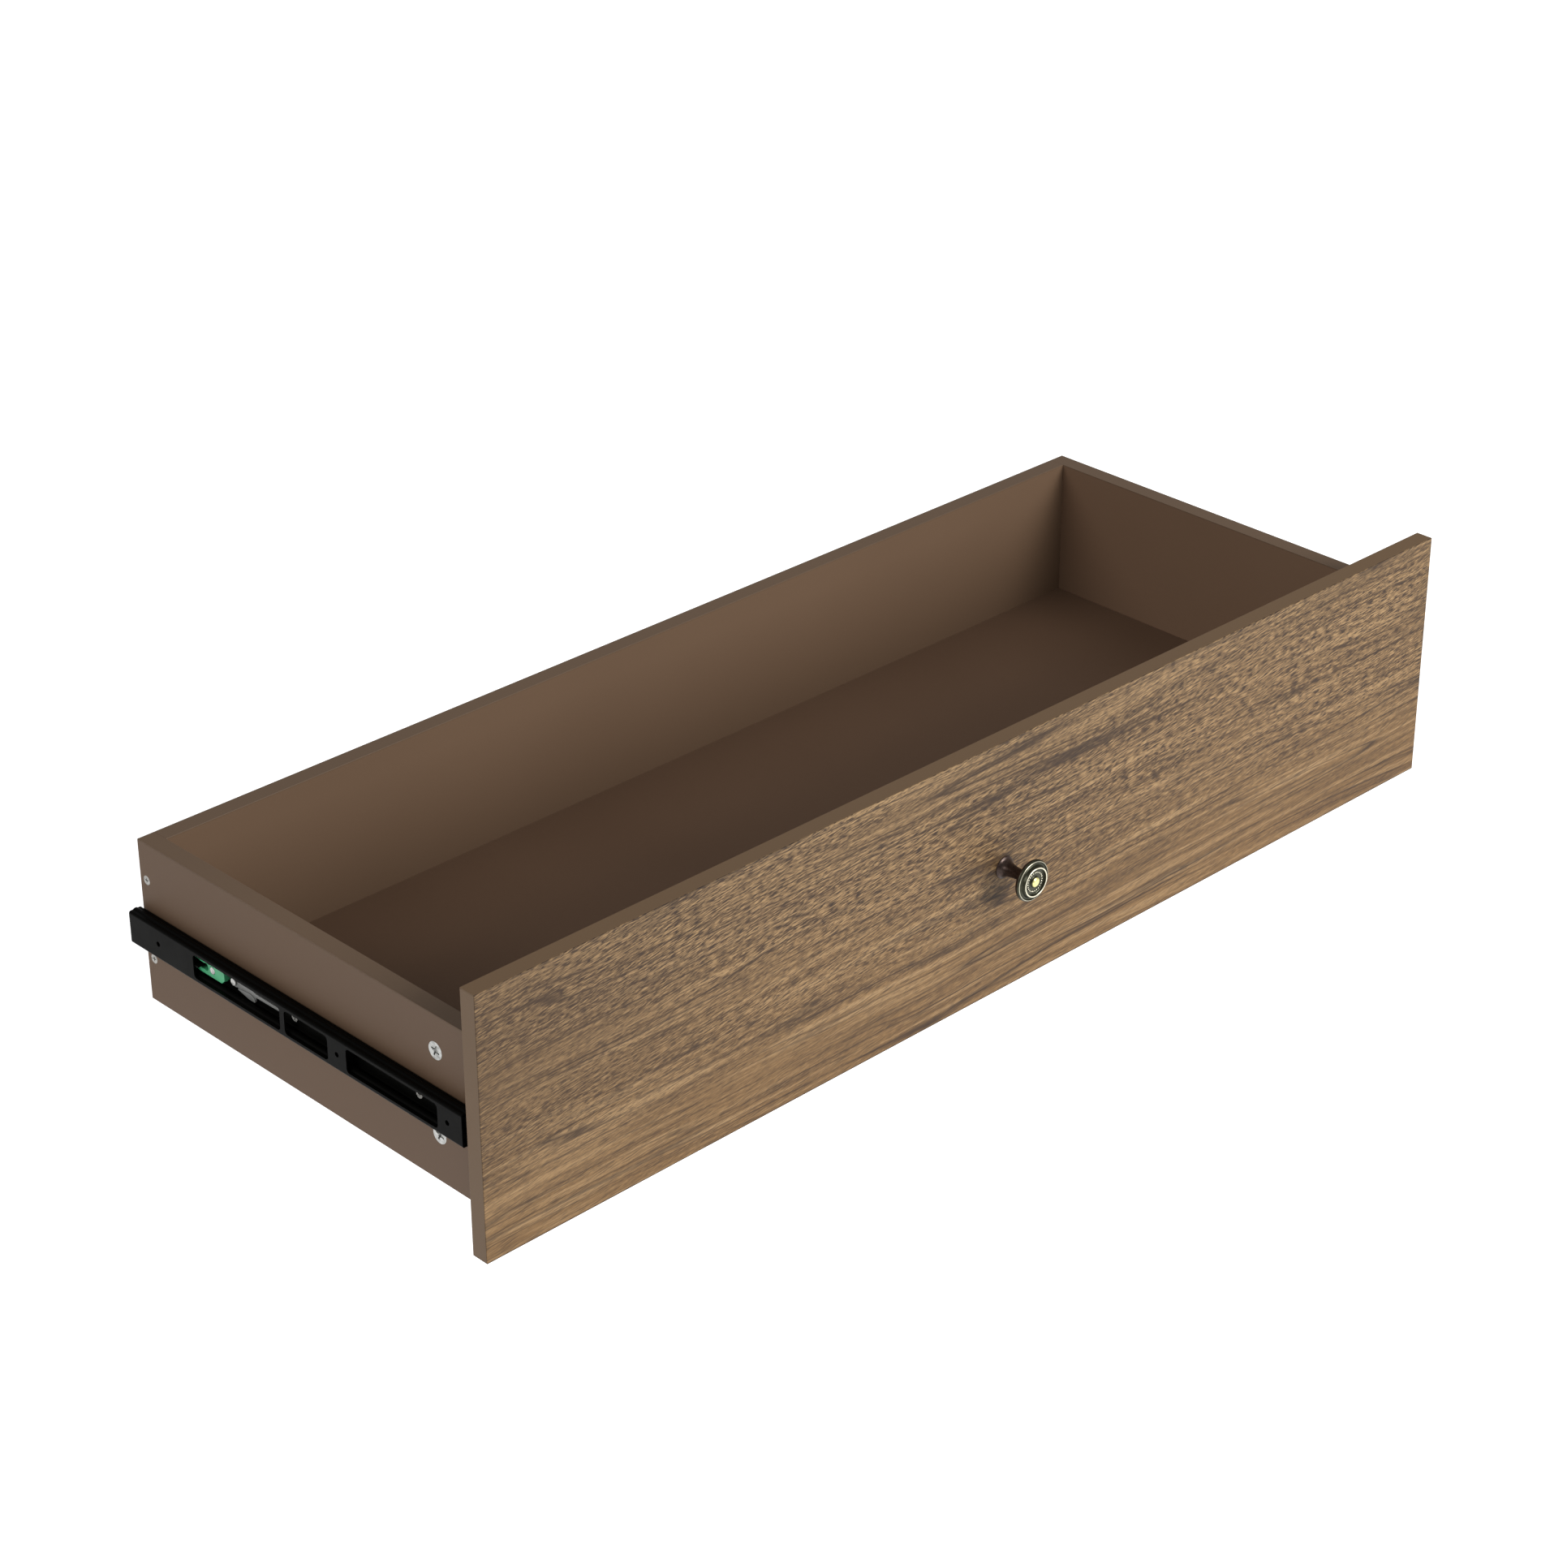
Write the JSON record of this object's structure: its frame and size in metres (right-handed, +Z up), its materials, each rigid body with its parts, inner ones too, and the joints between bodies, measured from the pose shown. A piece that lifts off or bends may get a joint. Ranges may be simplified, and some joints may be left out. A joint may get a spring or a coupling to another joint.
{
  "type": "cabinet drawer slide",
  "caption": "Wide wooden drawer with a turned knob, carried by two-part ball bearing side slides with release levers, fork catches and cam-locked corners.",
  "frame": {"origin": "midway between the two slides, on their centre line, level with the back face of the drawer front", "axes": "+X to the right along the drawer front, +Y into the cabinet, +Z up; the drawer opens along -Y"},
  "size_m": [1.097, 0.4622, 0.229],
  "materials": {
    "front_face_wood": "brushed oak grain, satin",
    "edge_band": "smooth matt foil",
    "brown_board": "smooth matt foil",
    "floor_board": "smooth matt foil",
    "antique_bronze": "dark antique, rubbed bright on the ridges",
    "zinc_steel": "zinc plated",
    "beech": "raw, fluted",
    "cam_zinc": "die cast zinc",
    "black_steel": "black, satin",
    "green_plastic": "moulded",
    "rivet_steel": "plated, satin",
    "grey_plastic": "moulded",
    "black_rubber": "matt",
    "strip_steel": "rolled",
    "ball_steel": "polished"
  },
  "bodies": {
    "cabinet_rails": {"left_cabinet_rail": "black_steel", "right_cabinet_rail": "black_steel", "left_rail_bumper": "black_rubber", "right_rail_bumper": "black_rubber"},
    "left_ball_cage": {"left_upper_ball_strip": "strip_steel", "left_lower_ball_strip": "strip_steel", "left_balls": "ball_steel"},
    "right_ball_cage": {"right_upper_ball_strip": "strip_steel", "right_lower_ball_strip": "strip_steel", "right_balls": "ball_steel"},
    "left_lever": {"left_release_lever": "grey_plastic"},
    "right_lever": {"right_release_lever": "grey_plastic"},
    "left_upper_cam_lock": {"left_upper_cam": "cam_zinc"},
    "left_lower_cam_lock": {"left_lower_cam": "cam_zinc"},
    "right_upper_cam_lock": {"right_upper_cam": "cam_zinc"},
    "right_lower_cam_lock": {"right_lower_cam": "cam_zinc"},
    "drawer": {"front_panel": "brown_board", "front_face_sheet": "front_face_wood", "front_top_band": "edge_band", "front_bottom_band": "edge_band", "front_left_band": "edge_band", "front_right_band": "edge_band", "left_side_panel": "brown_board", "right_side_panel": "brown_board", "back_panel": "brown_board", "bottom_panel": "floor_board", "left_top_band": "edge_band", "right_top_band": "edge_band", "back_top_band": "edge_band", "knob": "antique_bronze", "knob_screw": "zinc_steel", "cam_bolts": "zinc_steel", "dowels": "beech", "back_screws": "zinc_steel", "left_drawer_rail": "black_steel", "right_drawer_rail": "black_steel", "left_rail_screws": "zinc_steel", "right_rail_screws": "zinc_steel", "left_catch": "green_plastic", "right_catch": "green_plastic", "left_catch_rivet": "rivet_steel", "right_catch_rivet": "rivet_steel", "left_lever_rivet": "rivet_steel", "right_lever_rivet": "rivet_steel"}
  },
  "joints": [
    {"name": "drawer_slide", "type": "slide", "parent": "cabinet_rails", "child": "drawer", "axis": [0, -1, 0], "range_m": [0, 0.2515]},
    {"name": "left_cage_roll", "type": "slide", "parent": "cabinet_rails", "child": "left_ball_cage", "axis": [0, -1, 0], "range_m": [0, 0.12575]},
    {"name": "right_cage_roll", "type": "slide", "parent": "cabinet_rails", "child": "right_ball_cage", "axis": [0, -1, 0], "range_m": [0, 0.12575]},
    {"name": "left_lever_press", "type": "hinge", "parent": "drawer", "child": "left_lever", "pos_m": [-0.5386, 0.2865, 0], "axis": [-1, 0, 0], "range_deg": [0, 8], "stiffness_Nm_per_rad": 0.02, "springref_deg": -11.46},
    {"name": "right_lever_press", "type": "hinge", "parent": "drawer", "child": "right_lever", "pos_m": [0.5386, 0.2865, 0], "axis": [1, 0, 0], "range_deg": [0, 8], "stiffness_Nm_per_rad": 0.02, "springref_deg": -11.46},
    {"name": "left_upper_cam_turn", "type": "hinge", "parent": "drawer", "child": "left_upper_cam_lock", "pos_m": [-0.5298, 0.0467, 0.0442], "axis": [-1, 0, 0], "range_deg": [0, 180]},
    {"name": "left_lower_cam_turn", "type": "hinge", "parent": "drawer", "child": "left_lower_cam_lock", "pos_m": [-0.5298, 0.0467, -0.0284], "axis": [-1, 0, 0], "range_deg": [0, 180]},
    {"name": "right_upper_cam_turn", "type": "hinge", "parent": "drawer", "child": "right_upper_cam_lock", "pos_m": [0.5298, 0.0467, 0.0442], "axis": [1, 0, 0], "range_deg": [0, 180]},
    {"name": "right_lower_cam_turn", "type": "hinge", "parent": "drawer", "child": "right_lower_cam_lock", "pos_m": [0.5298, 0.0467, -0.0284], "axis": [1, 0, 0], "range_deg": [0, 180]}
  ],
  "couplings": [
    {"joint": "left_cage_roll", "follows": "drawer_slide", "ratio": 0.5},
    {"joint": "right_cage_roll", "follows": "drawer_slide", "ratio": 0.5}
  ]
}
